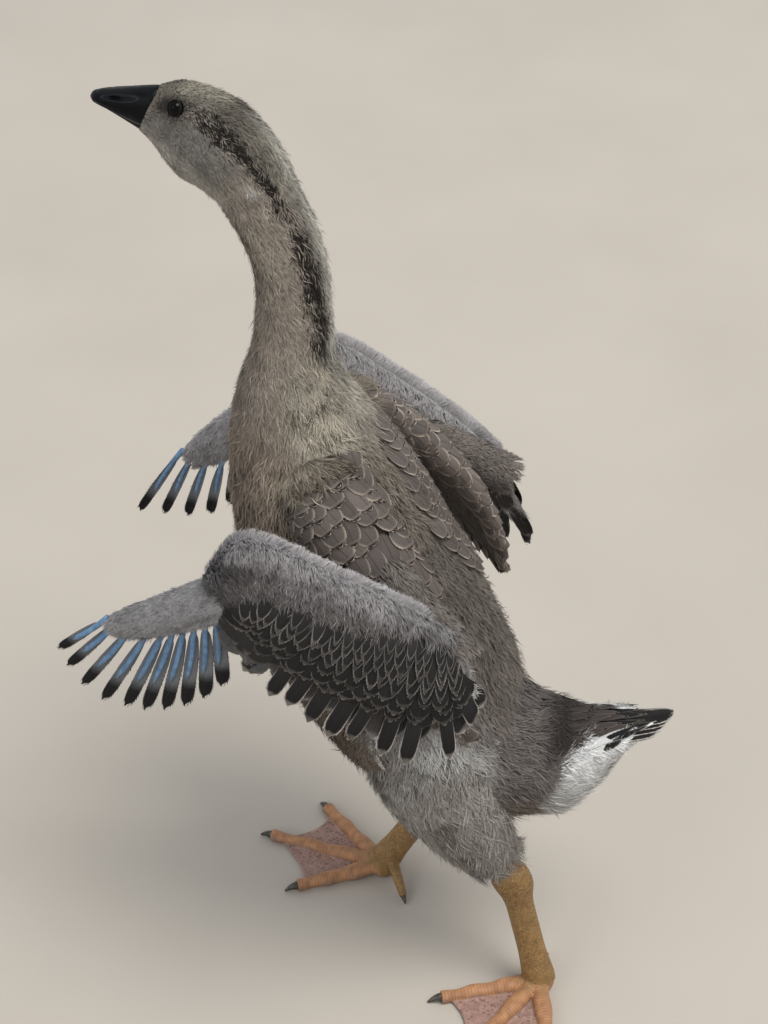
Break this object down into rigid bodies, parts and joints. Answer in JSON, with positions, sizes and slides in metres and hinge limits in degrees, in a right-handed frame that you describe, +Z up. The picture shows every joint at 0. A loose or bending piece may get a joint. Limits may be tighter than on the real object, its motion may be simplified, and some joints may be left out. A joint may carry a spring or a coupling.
{
  "type": "domestic goose",
  "caption": "Young domestic goose of the Chinese type as a still, life-size museum model, walking with its neck raised and both growing wings half opened forward",
  "frame": {"origin": "bottom centre of the bounding box, on the floor under the bird", "axes": "+Z up; the bird faces -Y; its left side is +X"},
  "size_m": [0.3069, 0.4405, 0.7251],
  "materials": {
    "down_pale": "short beige-grey down, matt",
    "down_trunk": "brown-grey plush down, matt",
    "down_wing": "mid grey velvety down, matt",
    "feather_dark": "dark brown-grey feather vanes with pale fringes",
    "feather_grey": "charcoal coverts with pale fringes",
    "quill": "blue-grey quill sheaths with black feather tips",
    "bill": "black horn, satin",
    "eye": "dark brown, wet gloss",
    "leg_skin": "ochre-orange scaled skin, satin",
    "claw": "dark horn, satin"
  },
  "bodies": {
    "root": {"head": "down_pale", "neck": "down_pale", "trunk": "down_trunk", "tail": "down_trunk", "tail_feathers": "feather_dark", "eye_L": "eye", "eye_R": "eye", "bill_upper": "bill", "bill_lower": "bill", "leg_L_thigh": "down_trunk", "leg_L_shank": "leg_skin", "foot_L": "leg_skin", "claw_L_II": "claw", "claw_L_III": "claw", "claw_L_IV": "claw", "claw_L_hallux": "claw", "wing_L_upper": "feather_dark", "wing_L_forearm": "feather_grey", "wing_L_hand": "down_wing", "wing_L_primaries": "quill", "leg_R_thigh": "down_trunk", "leg_R_shank": "leg_skin", "foot_R": "leg_skin", "claw_R_II": "claw", "claw_R_III": "claw", "claw_R_IV": "claw", "claw_R_hallux": "claw", "wing_R_upper": "feather_dark", "wing_R_forearm": "feather_grey", "wing_R_hand": "down_wing", "wing_R_primaries": "quill"}
  },
  "joints": []
}
